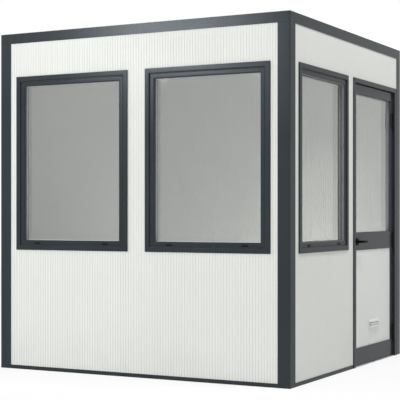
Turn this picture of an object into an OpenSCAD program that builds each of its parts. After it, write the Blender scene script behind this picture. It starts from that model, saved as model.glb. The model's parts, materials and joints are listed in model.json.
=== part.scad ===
// Security guard booth: a flat-roofed cabin of sandwich panels in a frame of corner posts and rails.
// Two windows in the front wall, one window and a half-glazed door in the right wall.
// Millimetres, +Z up, front wall towards -Y, door wall towards +X, origin on the ground under the middle.

/* [Booth] */
// Width along the front wall, over the corner posts
booth_w = 2190; // [1700:10:3000]
// Depth along the door wall, over the corner posts
booth_d = 2160; // [1800:10:3000]
// Height from the ground to the top of the roof rim
booth_h = 2330; // [1900:10:2800]

/* [Frame of posts and rails] */
// Width of each outer face of a corner post
post_face = 85; // [75:1:100]
// Rounding of the upright outer corners
corner_r = 4; // [1:0.5:8]
// Wall thickness of the post and rail profiles
profile_t = 3; // [2:0.5:4]
// Height of the rail that runs round under the sky
top_rail_h = 69; // [65:1:120]
// Height of the rail that runs round on the ground
base_rail_h = 26; // [20:1:60]
// Web of a post between a panel groove and the room
post_web = 2; // [1:0.5:3]
// Width of the ledge that carries the roof panel
ledge_w = 20; // [10:1:40]

/* [Panels] */
// Thickness of a wall panel
panel_t = 50; // [40:1:60]
// Distance between the fine grooves in the faces of a wall panel
rib_pitch = 20; // [15:1:60]
// Width of a groove at the face of the panel
groove_w = 9; // [4:0.5:10]
// Width of a groove at its floor
groove_floor = 4; // [1:0.5:4]
// Depth of a groove
groove_depth = 1.25; // [0.5:0.25:2]
// Thickness of the roof panel
roof_t = 50; // [40:1:60]
// Thickness of the floor panel
floor_t = 24; // [18:1:40]

/* [Windows] */
// Width of the front wall left beside and between its windows
window_gap = 134; // [105:1:250]
// Distance from the near corner to the window in the door wall
side_window_u = 140; // [105:1:200]
// Width of the wall left between the side window and the door frame
door_gap = 102; // [60:1:250]
// Height of the underside of the windows above the ground
window_sill = 828; // [300:1:1000]
// Distance from the top of the roof rim down to the heads of windows and door
head_drop = 302; // [90:1:400]
// Width of the outer frame's visible face
frame_face = 34; // [28:1:45]
// How far window and door frames stand out from the posts
frame_proud = 5; // [2:0.5:10]
// Overlap of the frames on the wall round the opening
flange_w = 12; // [6:1:16]
// Small bevel on the visible inner edge of the frames
bevel = 3; // [1:0.5:4]
// Width of the shadow seam between frame and sash
seam_w = 4; // [3:0.5:8]
// Depth of the shadow seam
seam_d = 8; // [6:0.5:12]
// Overlap of the frame over the sash behind it
sash_lap = 12; // [8:1:14]
// Width of the sash's visible face
sash_face = 29; // [20:1:40]
// How far the sash face lies behind the frame face
sash_back = 8; // [4:0.5:10]
// How far the glass lies behind the sash face
glass_back = 25; // [9:0.5:30]
// Thickness of a sealed glazing unit
glass_t = 18; // [12:1:22]
// Depth of the sash behind the glass
glass_lip = 6; // [4:0.5:10]
// Depth of the glass edge inside its groove
glass_bite = 12; // [8:1:14]
// Width of a drain cap on the lower sash bar
cap_w = 40; // [20:1:60]
// Height of a drain cap
cap_h = 11; // [6:1:14]
// How far a drain cap stands out
cap_proud = 4; // [2:0.5:6]
// Height of a drain cap above the lower edge of the sash face
cap_up = 4; // [1:0.5:8]
// Distance from the window's side to a drain cap's middle
cap_in = 175; // [120:5:220]

/* [Window handles] */
// Width of the handle's base plate
grip_plate_w = 30; // [24:1:38]
// Height of the handle's base plate
grip_plate_h = 66; // [50:1:90]
// Thickness of the handle's base plate
grip_plate_t = 10; // [6:1:14]
// Distance of the grip's middle from the base plate
grip_out = 25; // [18:1:40]
// Length of the grip, which hangs down when the window is shut
grip_len = 120; // [80:1:150]
// Diameter of the grip at its neck
grip_d = 18; // [12:1:22]
// Diameter of the grip at its tip
grip_tip_d = 14; // [9:1:18]

/* [Door frame] */
// Width of the door frame over its jambs
door_frame_w = 930; // [800:5:1010]
// Width of the filler strip between the door frame and the far post
hinge_filler = 22; // [0:1:60]
// Thickness of the stop behind the leaf
stop_t = 6; // [4:1:10]
// Width of the stop beside the jamb's inner face
stop_w = 17; // [13:1:24]
// Height of the threshold plate under the leaf
threshold_h = 5; // [3:0.5:8]

/* [Door leaf] */
// Thickness of the leaf
leaf_t = 40; // [36:1:48]
// How far the leaf lies behind the outer plane of the posts
leaf_back = 12.5; // [9:0.5:24]
// Clearance between leaf and jamb on the lock side
lock_gap = 7; // [7:0.5:10]
// Clearance between leaf and jamb on the hinge side
hinge_gap = 5; // [5:0.5:7]
// Clearance over the leaf and under it
end_gap = 5; // [5:0.5:10]
// Clearance between the leaf and the stop behind it
stop_gap = 6; // [6:0.5:10]
// Width of the upright leaf stiles
stile_w = 51; // [48:1:100]
// Height of the leaf's top rail
leaf_top_h = 62; // [50:1:120]
// Height of the middle of the lock rail above the ground
lock_rail_z = 881; // [820:1:960]
// Height of the lock rail
lock_rail_h = 123; // [90:1:160]
// Height of the leaf's bottom rail
leaf_foot_h = 120; // [80:1:170]
// How far the lower panel lies behind the leaf's face
infill_back = 6; // [4:0.5:10]
// Depth of the leaf behind the door glass
leaf_lip = 4; // [3:0.5:8]
// Thickness of the lower door panel
door_panel_t = 24; // [18:1:26]

/* [Louvre] */
// Width of the ventilation louvre
vent_w = 205; // [160:5:400]
// Height of the ventilation louvre
vent_h = 66; // [56:1:100]
// Height of the louvre's middle above the ground
vent_z = 278; // [240:1:560]
// How far the louvre stands out from the door panel
vent_out = 22; // [14:1:24]
// Drop of each slat from back to front
slat_drop = 10; // [4:1:14]
// Height of the lip on the front edge of a slat
slat_lip = 8; // [4:1:10]
// Number of slats in the louvre
slat_count = 3; // [2:1:4]
// Thickness of the louvre's sheet
vent_t = 2; // [1.5:0.25:3]
// Width of the louvre's rim round the hole in the panel
vent_rim = 12; // [9:1:16]
// Number of slots in the grille behind the hole
grille_slots = 4; // [2:1:6]

/* [Handle] */
// Distance of the spindle from the leaf's lock edge
spindle_in = 65; // [44:1:90]
// Diameter of the round rose under each lever
rose_d = 52; // [44:1:60]
// Thickness of a rose
rose_t = 8; // [5:0.5:9]
// Bevel round the edge of a rose
rose_bevel = 2; // [1:0.25:3]
// Diameter of the lever's neck
neck_d = 18; // [14:0.5:20]
// Distance of the lever's middle from the leaf face
lever_out = 45; // [38:1:60]
// Length of the lever from its neck
lever_len = 85; // [75:1:140]
// Diameter of the lever where it leaves the neck
lever_d = 17; // [13:0.5:19]
// Diameter of the lever at its tip
lever_tip_d = 13; // [9:0.5:16]
// Clearance round the turning neck
neck_play = 0.5; // [0.3:0.1:1]

/* [Hinges] */
// Height of a hinge
hinge_h = 110; // [80:1:120]
// Height of the lowest hinge's middle above the ground
hinge_low_z = 190; // [150:1:260]
// Distance of the highest hinge's middle below the top of the leaf
hinge_high_in = 208; // [150:1:300]
// Diameter of the hinge barrel
barrel_d = 15; // [12:0.5:15]
// Distance of the hinge pin from the leaf face and from the jamb
pin_off = 11; // [10.5:0.25:12]
// Diameter of the hinge pin
pin_d = 8; // [5:0.5:8]
// Thickness of the hinge plates
plate_t = 2; // [1.5:0.25:2.5]
// Width of the hinge plate on the leaf
plate_w = 40; // [30:1:46]
// Distance of the hinge plates from the edges beside them
plate_edge = 1; // [0.5:0.5:2]
// Clearance between the knuckles of a hinge
knuckle_gap = 1; // [0.5:0.25:2]
// Clearance between turning hinge pieces
hinge_play = 0.5; // [0.3:0.1:0.8]

/* [Hidden] */
$fn = 48;
// depth of the wall panels' inner face, and of the rails' inner face, behind the outer plane
wall_in = profile_t + panel_t;
rail_in = wall_in + profile_t;
// end of the panel grooves inside a post, measured from the outer corner
groove_end = wall_in + post_web;
post_h = booth_h - top_rail_h;
panel_top = booth_h - profile_t;
// heads of windows and door line up
head_z = booth_h - head_drop;
window_h = head_z - window_sill;
// the front windows share the wall evenly
front_window_w = (booth_w - 3 * window_gap) / 2;
front_u = [window_gap, 2 * window_gap + front_window_w];
// depths in a window, from the outer plane of the posts
sash_d = sash_back - frame_proud;
glass_d = sash_d + glass_back;
sash_in = max(wall_in, glass_d + glass_t + glass_lip);
seat_d = sash_d + seam_d;
rebate_s = frame_face - sash_lap;
sash_s = frame_face + seam_w + sash_face;
glass_s = sash_s - glass_bite;
// door frame beside the far corner post
door_u1 = booth_d - post_face - hinge_filler;
door_u0 = door_u1 - door_frame_w;
side_window_w = door_u0 - door_gap - side_window_u;
jamb_u0 = door_u0 + frame_face;
jamb_u1 = door_u1 - frame_face;
header_z = head_z - flange_w;
leaf_in = leaf_back + leaf_t;
stop_d = leaf_in + stop_gap;
frame_in = stop_d + stop_t;
// door leaf
leaf_u0 = jamb_u0 + lock_gap;
leaf_u1 = jamb_u1 - hinge_gap;
leaf_z0 = threshold_h + end_gap;
leaf_z1 = head_z - frame_face - end_gap;
infill_d = leaf_back + infill_back;
door_glass_d = leaf_in - leaf_lip - glass_t;
infill_u0 = leaf_u0 + stile_w;
infill_u1 = leaf_u1 - stile_w;
lock_z0 = lock_rail_z - lock_rail_h / 2;
lock_z1 = lock_rail_z + lock_rail_h / 2;
light_z1 = leaf_z1 - leaf_top_h;
foot_z1 = leaf_z0 + leaf_foot_h;
vent_u = (leaf_u0 + leaf_u1) / 2;
vent_z0 = vent_z - vent_h / 2;
vent_z1 = vent_z + vent_h / 2;
slat_reach = vent_out - vent_t / 2;
slat_pitch = (vent_h - slat_drop - slat_lip) / slat_count;
spindle_u = leaf_u0 + spindle_in;
// hinge pin
pin_u = jamb_u1 - pin_off;
pin_back = leaf_back - pin_off;
knuckle_h = hinge_h / 3;
hinge_zs = [hinge_low_z, lock_rail_z, leaf_z1 - hinge_high_in];

// each wall is drawn from its left end as seen from outside: x along the wall, y inwards, z up
module on_front() {
    translate([-booth_w / 2, -booth_d / 2, 0]) children();
}
module on_right() {
    translate([booth_w / 2, -booth_d / 2, 0]) rotate([0, 0, 90]) children();
}
module on_back() {
    translate([booth_w / 2, booth_d / 2, 0]) rotate([0, 0, 180]) children();
}
module on_left() {
    translate([-booth_w / 2, booth_d / 2, 0]) rotate([0, 0, 270]) children();
}

// block between two positions along the wall, two depths and two heights
module block(u0, u1, d0, d1, z0, z1) {
    translate([u0, d0, z0]) cube([u1 - u0, d1 - d0, z1 - z0]);
}
// a flat section, depth across and height up, drawn out along the wall
module along(u0, u1) {
    translate([u0, 0, 0]) rotate([90, 0, 90]) linear_extrude(u1 - u0) children();
}
// corner post: square tube with a groove for the panel of each wall
module post_section() {
    difference() {
        square(post_face);
        corner_bit();
        translate([groove_end, profile_t]) square([post_face, panel_t]);
        translate([profile_t, groove_end]) square([panel_t, post_face]);
        translate([rail_in, rail_in]) square(post_face);
        translate([profile_t, profile_t]) square(groove_end - 2 * profile_t);
    }
}
module corner_bit() {
    difference() {
        translate([-1, -1]) square(corner_r + 1);
        translate([corner_r, corner_r]) circle(corner_r);
    }
}
module post() {
    color([0.25, 0.27, 0.29]) linear_extrude(post_h) post_section();
}

// base rail: channel on the ground that holds the foot of the panels
module base_rail(u0, u1) {
    color([0.22, 0.24, 0.26]) along(u0, u1) difference() {
        square([rail_in, base_rail_h]);
        translate([profile_t, profile_t]) square([panel_t, base_rail_h]);
    }
}

// top rail: cap over the panels with a ledge for the roof, mitred at both corners
module top_rail_section() {
    difference() {
        square([rail_in, top_rail_h]);
        translate([profile_t, -1]) square([panel_t, top_rail_h - profile_t + 1]);
    }
    translate([wall_in, 0]) square([profile_t + ledge_w, profile_t]);
}
module top_rail(len) {
    reach = 2 * (rail_in + ledge_w);
    color([0.25, 0.27, 0.29]) translate([0, 0, post_h]) difference() {
        intersection() {
            along(0, len) top_rail_section();
            linear_extrude(top_rail_h) polygon([[0, 0], [len, 0], [len - reach, reach], [reach, reach]]);
        }
        translate([0, 0, -1]) linear_extrude(top_rail_h + 2) corner_bit();
        translate([len, 0, -1]) mirror([1, 0, 0]) linear_extrude(top_rail_h + 2) corner_bit();
    }
}

// one face of a panel in plan: fine upright grooves, with half a groove at each joint
function face_line(width, pitch, count) = concat(
    [[0, groove_depth], [groove_floor / 2, groove_depth], [groove_w / 2, 0]],
    [for (i = [1 : count - 1]) each groove(i * pitch)],
    [[width - groove_w / 2, 0], [width - groove_floor / 2, groove_depth], [width, groove_depth]]);
function groove(mid) = [[mid - groove_w / 2, 0], [mid - groove_floor / 2, groove_depth],
    [mid + groove_floor / 2, groove_depth], [mid + groove_w / 2, 0]];
// sandwich panel from a height up into the top rail, ribbed on both faces
module ribbed_panel(u0, u1, z0) {
    count = round((u1 - u0) / rib_pitch);
    line = face_line(u1 - u0, (u1 - u0) / count, count);
    outer = [for (p = line) [u0 + p[0], profile_t + p[1]]];
    inner = [for (p = line) [u1 - p[0], wall_in - p[1]]];
    color([0.93, 0.94, 0.93]) translate([0, 0, z0]) linear_extrude(panel_top - z0)
        polygon(concat(outer, inner));
}
module wall_panel(u0, u1) {
    ribbed_panel(u0, u1, profile_t);
}
// wall panel with a window opening
module window_panel(u0, u1, window_u, window_w) {
    color([0.93, 0.94, 0.93]) difference() {
        wall_panel(u0, u1);
        block(window_u + flange_w, window_u + window_w - flange_w, 0, rail_in,
            window_sill + flange_w, head_z - flange_w);
    }
}

// one mitred bar: section with depth across and distance from the outer edge up, drawn out along the wall
module bar(len, square_start) {
    reach = 2 * sash_s;
    start = square_start ? 0 : reach;
    intersection() {
        along(0, len) children();
        translate([0, 2 * frame_in, 0]) rotate([90, 0, 0]) linear_extrude(3 * frame_in)
            polygon([[0, 0], [len, 0], [len - reach, reach], [start, reach]]);
    }
}
// four mitred bars round an opening
module ring(w, h) {
    bar(w, false) children();
    translate([0, 0, h]) mirror([0, 0, 1]) bar(w, false) children();
    mirror([1, 0, 0]) rotate([0, -90, 0]) bar(h, false) children();
    translate([w, 0, 0]) rotate([0, -90, 0]) bar(h, false) children();
}

// window: outer frame, sash and sealed glazing unit
module frame_section() {
    polygon([[-frame_proud, 0], [-frame_proud, frame_face - bevel], [bevel - frame_proud, frame_face],
        [seat_d, frame_face], [seat_d, rebate_s], [wall_in, rebate_s], [wall_in, flange_w],
        [profile_t, flange_w], [profile_t, 0]]);
}
module sash_section() {
    polygon([[seat_d, rebate_s], [seat_d, frame_face + seam_w], [sash_d, frame_face + seam_w],
        [sash_d, sash_s - bevel], [sash_d + bevel, sash_s], [glass_d, sash_s], [glass_d, glass_s],
        [glass_d + glass_t, glass_s], [glass_d + glass_t, sash_s], [sash_in, sash_s], [sash_in, rebate_s]]);
}
module window_frame(u, w) {
    color([0.24, 0.26, 0.28]) translate([u, 0, window_sill]) ring(w, window_h) frame_section();
}
module window_sash(u, w) {
    color([0.26, 0.28, 0.3]) translate([u, 0, window_sill]) ring(w, window_h) sash_section();
}
module window_glass(u, w) {
    color([0.6, 0.65, 0.66, 0.6]) block(u + glass_s, u + w - glass_s, glass_d, glass_d + glass_t,
        window_sill + glass_s, head_z - glass_s);
}
// hooded caps over the drain slots in the lower sash bar
module window_caps(u, w) {
    z0 = window_sill + frame_face + seam_w + cap_up;
    for (mid = [u + cap_in, u + w - cap_in]) {
        translate([0, 0, z0]) along(mid - cap_w / 2, mid + cap_w / 2)
            polygon([[sash_d, 0], [sash_d - cap_proud, 0], [sash_d - cap_proud, cap_h - cap_proud / 2],
                [sash_d, cap_h]]);
    }
}
// handle on the inner face of a sash bar, hanging down because the window is shut
module window_handle(u) {
    reach = grip_plate_t + grip_out;
    translate([u, sash_in, window_sill + window_h / 2]) {
        block(-grip_plate_w / 2, grip_plate_w / 2, 0, grip_plate_t, -grip_plate_h / 2, grip_plate_h / 2);
        rotate([-90, 0, 0]) cylinder(h = reach, d = grip_d);
        translate([0, reach, 0]) sphere(d = grip_d);
        translate([0, reach, -grip_len]) cylinder(h = grip_len, d1 = grip_tip_d, d2 = grip_d);
        translate([0, reach, -grip_len]) sphere(d = grip_tip_d);
    }
}

// door frame section with the stop that the leaf closes against
module door_frame_section() {
    polygon([[-frame_proud, 0], [-frame_proud, frame_face - bevel], [bevel - frame_proud, frame_face],
        [stop_d, frame_face], [stop_d, frame_face + stop_w], [frame_in, frame_face + stop_w],
        [frame_in, flange_w], [profile_t, flange_w], [profile_t, 0]]);
}

// hinge plates and knuckles about the pin, at one height
module barrel(z0, z1, d) {
    translate([pin_u, pin_back, z0]) cylinder(h = z1 - z0, d = d);
}
module hinge_jamb_half(z) {
    z0 = z - hinge_h / 2;
    z1 = z + hinge_h / 2;
    block(jamb_u1 - plate_t, jamb_u1, bevel + plate_edge - frame_proud, leaf_back - plate_t - plate_edge,
        z0, z1);
    for (end = [z0, z1 - knuckle_h]) {
        barrel(end, end + knuckle_h, barrel_d);
        block(pin_u, jamb_u1 - plate_t / 2, pin_back - pin_d / 2, pin_back + pin_d / 2, end, end + knuckle_h);
    }
    barrel(z0 + knuckle_gap, z1 - knuckle_gap, pin_d);
}
module hinge_leaf_half(z) {
    z0 = z - knuckle_h / 2 + knuckle_gap;
    z1 = z + knuckle_h / 2 - knuckle_gap;
    plate_u1 = leaf_u1 - plate_edge;
    difference() {
        union() {
            block(plate_u1 - plate_w, plate_u1, leaf_back - plate_t, leaf_back,
                z - hinge_h / 2, z + hinge_h / 2);
            barrel(z0, z1, barrel_d);
            block(pin_u - pin_d / 2, pin_u + pin_d / 2, pin_back, leaf_back - plate_t / 2, z0, z1);
        }
        barrel(z - hinge_h, z + hinge_h, pin_d + 2 * hinge_play);
    }
}

// round rose lying on the leaf with its back at depth 0, towards -y
module rose() {
    bore = neck_d / 2 + neck_play;
    rotate([90, 0, 0]) rotate_extrude()
        polygon([[bore, 0], [rose_d / 2, 0], [rose_d / 2, rose_t - rose_bevel],
            [rose_d / 2 - rose_bevel, rose_t], [bore, rose_t]]);
}
// lever and neck, from the middle of the leaf outwards to -y
module lever() {
    reach = leaf_t / 2 + lever_out;
    rotate([90, 0, 0]) cylinder(h = reach, d = neck_d);
    translate([0, -reach, 0]) sphere(d = neck_d);
    translate([0, -reach, 0]) rotate([0, 90, 0]) cylinder(h = lever_len, d1 = lever_d, d2 = lever_tip_d);
    translate([lever_len, -reach, 0]) sphere(d = lever_tip_d);
}

module front_left_post() {
    on_front() post();
}
module front_right_post() {
    on_right() post();
}
module back_right_post() {
    on_back() post();
}
module back_left_post() {
    on_left() post();
}

module front_base_rail() {
    on_front() base_rail(post_face, booth_w - post_face);
}
module right_base_rail() {
    on_right() base_rail(post_face, door_u0);
}
module back_base_rail() {
    on_back() base_rail(post_face, booth_w - post_face);
}
module left_base_rail() {
    on_left() base_rail(post_face, booth_d - post_face);
}

module front_top_rail() {
    on_front() top_rail(booth_w);
}
module right_top_rail() {
    on_right() top_rail(booth_d);
}
module back_top_rail() {
    on_back() top_rail(booth_w);
}
module left_top_rail() {
    on_left() top_rail(booth_d);
}

module floor_panel() {
    color([0.5, 0.5, 0.49]) difference() {
        on_front() block(rail_in, booth_w - rail_in, rail_in, booth_d - rail_in, 0, floor_t);
        on_right() block(door_u0 + flange_w, door_u1, 0, frame_in, -1, floor_t + 1);
    }
}
module roof_panel() {
    z0 = post_h + profile_t;
    color([0.9, 0.91, 0.9]) on_front()
        block(rail_in, booth_w - rail_in, rail_in, booth_d - rail_in, z0, z0 + roof_t);
}

module front_left_panel() {
    on_front() window_panel(groove_end, booth_w / 2, front_u[0], front_window_w);
}
module front_right_panel() {
    on_front() window_panel(booth_w / 2, booth_w - groove_end, front_u[1], front_window_w);
}
module right_window_panel() {
    on_right() window_panel(groove_end, door_u0 + flange_w, side_window_u, side_window_w);
}
module right_header_panel() {
    on_right() ribbed_panel(door_u0 + flange_w, booth_d - groove_end, header_z);
}
module back_right_panel() {
    on_back() wall_panel(groove_end, booth_w / 2);
}
module back_left_panel() {
    on_back() wall_panel(booth_w / 2, booth_w - groove_end);
}
module left_back_panel() {
    on_left() wall_panel(groove_end, booth_d / 2);
}
module left_front_panel() {
    on_left() wall_panel(booth_d / 2, booth_d - groove_end);
}

module front_left_window_frame() {
    on_front() window_frame(front_u[0], front_window_w);
}
module front_left_window_sash() {
    on_front() window_sash(front_u[0], front_window_w);
}
module front_left_window_glass() {
    on_front() window_glass(front_u[0], front_window_w);
}
module front_right_window_frame() {
    on_front() window_frame(front_u[1], front_window_w);
}
module front_right_window_sash() {
    on_front() window_sash(front_u[1], front_window_w);
}
module front_right_window_glass() {
    on_front() window_glass(front_u[1], front_window_w);
}
module side_window_frame() {
    on_right() window_frame(side_window_u, side_window_w);
}
module side_window_sash() {
    on_right() window_sash(side_window_u, side_window_w);
}
module side_window_glass() {
    on_right() window_glass(side_window_u, side_window_w);
}
module drain_caps() {
    color([0.1, 0.1, 0.11]) {
        on_front() window_caps(front_u[0], front_window_w);
        on_front() window_caps(front_u[1], front_window_w);
        on_right() window_caps(side_window_u, side_window_w);
    }
}
module window_handles() {
    bar_mid = (rebate_s + sash_s) / 2;
    color([0.1, 0.1, 0.11]) {
        on_front() window_handle(front_u[0] + front_window_w - bar_mid);
        on_front() window_handle(front_u[1] + front_window_w - bar_mid);
        on_right() window_handle(side_window_u + bar_mid);
    }
}

module door_lock_jamb() {
    color([0.24, 0.26, 0.28]) on_right() translate([door_u0, 0, 0]) mirror([1, 0, 0]) rotate([0, -90, 0])
        bar(head_z, true) door_frame_section();
}
module door_hinge_jamb() {
    color([0.24, 0.26, 0.28]) on_right() {
        translate([door_u1, 0, 0]) rotate([0, -90, 0]) bar(head_z, true) door_frame_section();
        block(door_u1 - flange_w, booth_d - groove_end, profile_t, wall_in, 0, header_z);
    }
}
module door_head() {
    color([0.24, 0.26, 0.28]) on_right() translate([door_u0, 0, head_z]) mirror([0, 0, 1])
        bar(door_frame_w, false) door_frame_section();
}
module door_threshold() {
    color([0.6, 0.61, 0.62]) on_right() {
        block(jamb_u0, jamb_u1, 0, stop_d, 0, threshold_h);
        block(jamb_u0 + stop_w, jamb_u1 - stop_w, stop_d, frame_in, 0, floor_t);
    }
}

module door_leaf() {
    color([0.27, 0.29, 0.3]) on_right() difference() {
        block(leaf_u0, leaf_u1, leaf_back, leaf_in, leaf_z0, leaf_z1);
        block(infill_u0, infill_u1, leaf_back - 1, leaf_in + 1, lock_z1, light_z1);
        block(infill_u0 - glass_bite, infill_u1 + glass_bite, door_glass_d, door_glass_d + glass_t,
            lock_z1 - glass_bite, light_z1 + glass_bite);
        block(infill_u0, infill_u1, leaf_back - 1, leaf_in + 1, foot_z1, lock_z0);
        block(infill_u0 - glass_bite, infill_u1 + glass_bite, infill_d, infill_d + door_panel_t,
            foot_z1 - glass_bite, lock_z0 + glass_bite);
        translate([spindle_u, leaf_back - 1, lock_rail_z]) rotate([-90, 0, 0])
            cylinder(h = leaf_t + 2, d = neck_d + 2 * neck_play);
    }
}
module door_glass() {
    color([0.6, 0.65, 0.66, 0.6]) on_right() block(infill_u0 - glass_bite, infill_u1 + glass_bite,
        door_glass_d, door_glass_d + glass_t, lock_z1 - glass_bite, light_z1 + glass_bite);
}
// hole through the lower door panel behind the louvre
module vent_hole(d0, d1) {
    block(vent_u - vent_w / 2 + vent_rim, vent_u + vent_w / 2 - vent_rim, d0, d1,
        vent_z0 + vent_rim, vent_z1 - vent_rim);
}
module door_panel() {
    color([0.88, 0.89, 0.88]) on_right() difference() {
        block(infill_u0 - glass_bite, infill_u1 + glass_bite, infill_d, infill_d + door_panel_t,
            foot_z1 - glass_bite, lock_z0 + glass_bite);
        vent_hole(infill_d - 1, infill_d + door_panel_t + 1);
    }
}
// section of a slat: out from the middle of the rim in x, up in y, with a lip at the front
module slat_section() {
    polygon([[0, 0], [slat_reach, -slat_drop], [slat_reach, -slat_drop - slat_lip],
        [slat_reach - vent_t, -slat_drop - slat_lip], [slat_reach - vent_t, -slat_drop - vent_t],
        [0, -vent_t]]);
}
// hooded slat that sheds the rain: a straight run with both ends turned back to the rim
module slat(u0, u1, z) {
    translate([0, infill_d - vent_t / 2, z]) {
        mirror([0, 1, 0]) along(u0 + slat_reach, u1 - slat_reach) slat_section();
        translate([u0 + slat_reach, 0, 0]) rotate([0, 0, 180]) rotate_extrude(angle = 90) slat_section();
        translate([u1 - slat_reach, 0, 0]) rotate([0, 0, 270]) rotate_extrude(angle = 90) slat_section();
    }
}
// louvre: a thin rim on the panel and hooded slats in front of the hole
module louvre() {
    difference() {
        block(vent_u - vent_w / 2, vent_u + vent_w / 2, infill_d - vent_t, infill_d, vent_z0, vent_z1);
        vent_hole(infill_d - vent_out, infill_d + 1);
    }
    for (i = [0 : slat_count - 1]) {
        slat(vent_u - (vent_w - vent_rim) / 2, vent_u + (vent_w - vent_rim) / 2, vent_z1 - i * slat_pitch);
    }
}
// flat slotted grille on the inner face of the door panel
module inner_grille() {
    d0 = infill_d + door_panel_t;
    slot_pitch = (vent_h - 2 * vent_rim) / grille_slots;
    difference() {
        block(vent_u - vent_w / 2, vent_u + vent_w / 2, d0, d0 + vent_t, vent_z0, vent_z1);
        for (i = [0 : grille_slots - 1]) {
            z = vent_z0 + vent_rim + (i + 0.25) * slot_pitch;
            block(vent_u - vent_w / 2 + vent_rim, vent_u + vent_w / 2 - vent_rim, d0 - 1, d0 + vent_t + 1,
                z, z + slot_pitch / 2);
        }
    }
}
module vent_louvre() {
    color([0.92, 0.92, 0.91]) on_right() {
        louvre();
        inner_grille();
    }
}
module handle_roses() {
    color([0.1, 0.1, 0.11]) on_right() {
        translate([spindle_u, leaf_back, lock_rail_z]) rose();
        translate([spindle_u, leaf_in, lock_rail_z]) mirror([0, 1, 0]) rose();
    }
}
module outside_lever() {
    color([0.1, 0.1, 0.11]) on_right() translate([spindle_u, leaf_back + leaf_t / 2, lock_rail_z]) lever();
}
module inside_lever() {
    color([0.1, 0.1, 0.11]) on_right() translate([spindle_u, leaf_back + leaf_t / 2, lock_rail_z])
        mirror([0, 1, 0]) lever();
}
module hinge_jamb_halves() {
    color([0.12, 0.12, 0.13]) on_right() {
        for (z = hinge_zs) {
            hinge_jamb_half(z);
        }
    }
}
module hinge_leaf_halves() {
    color([0.12, 0.12, 0.13]) on_right() {
        for (z = hinge_zs) {
            hinge_leaf_half(z);
        }
    }
}

front_left_post();
front_right_post();
back_right_post();
back_left_post();
front_base_rail();
right_base_rail();
back_base_rail();
left_base_rail();
front_top_rail();
right_top_rail();
back_top_rail();
left_top_rail();
floor_panel();
roof_panel();
front_left_panel();
front_right_panel();
right_window_panel();
right_header_panel();
back_left_panel();
back_right_panel();
left_front_panel();
left_back_panel();
front_left_window_frame();
front_left_window_sash();
front_left_window_glass();
front_right_window_frame();
front_right_window_sash();
front_right_window_glass();
side_window_frame();
side_window_sash();
side_window_glass();
drain_caps();
window_handles();
door_lock_jamb();
door_hinge_jamb();
door_head();
door_threshold();
door_leaf();
door_glass();
door_panel();
vent_louvre();
handle_roses();
outside_lever();
inside_lever();
hinge_jamb_halves();
hinge_leaf_halves();
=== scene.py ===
# %% [markdown]
# # A security guard booth
#
# The booth is a small cabin of white ribbed panels in a dark grey frame, with three windows and a
# half-glazed door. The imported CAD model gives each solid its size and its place. This script adds
# what a workshop does last: paint, rounded edges, rubber beads round the glass, a lock and screws.
# All lengths are metres in the frame of the CAD model: the front wall faces -Y, the door faces +X.

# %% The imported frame
import json
import math

import bpy
from mathutils import Euler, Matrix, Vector


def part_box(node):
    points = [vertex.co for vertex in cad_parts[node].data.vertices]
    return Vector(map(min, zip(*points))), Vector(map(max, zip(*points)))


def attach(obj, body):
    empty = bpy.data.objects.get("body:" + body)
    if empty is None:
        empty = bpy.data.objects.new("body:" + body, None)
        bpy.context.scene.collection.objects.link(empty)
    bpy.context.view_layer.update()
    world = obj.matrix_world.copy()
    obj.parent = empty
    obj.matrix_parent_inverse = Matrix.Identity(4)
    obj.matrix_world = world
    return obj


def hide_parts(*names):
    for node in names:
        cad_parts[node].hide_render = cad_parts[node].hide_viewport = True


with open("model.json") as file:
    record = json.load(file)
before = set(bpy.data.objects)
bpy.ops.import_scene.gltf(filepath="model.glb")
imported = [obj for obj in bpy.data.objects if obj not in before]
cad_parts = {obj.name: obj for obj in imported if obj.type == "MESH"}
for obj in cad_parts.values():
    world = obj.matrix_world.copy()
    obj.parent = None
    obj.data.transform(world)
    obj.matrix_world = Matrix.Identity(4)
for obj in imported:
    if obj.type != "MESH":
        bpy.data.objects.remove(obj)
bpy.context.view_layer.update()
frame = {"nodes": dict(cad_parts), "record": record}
bpy.ops.object.select_all(action="DESELECT")

# %% [markdown]
# ## Sums in shader nodes
#
# Paint, dust and scratches change with the place on the booth. In Blender such a change is a chain of
# nodes, which is long to write node by node. A small class that wraps one socket and knows how to add
# and multiply lets each finish be written as a line of arithmetic, and adds the Math nodes by itself.

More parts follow.
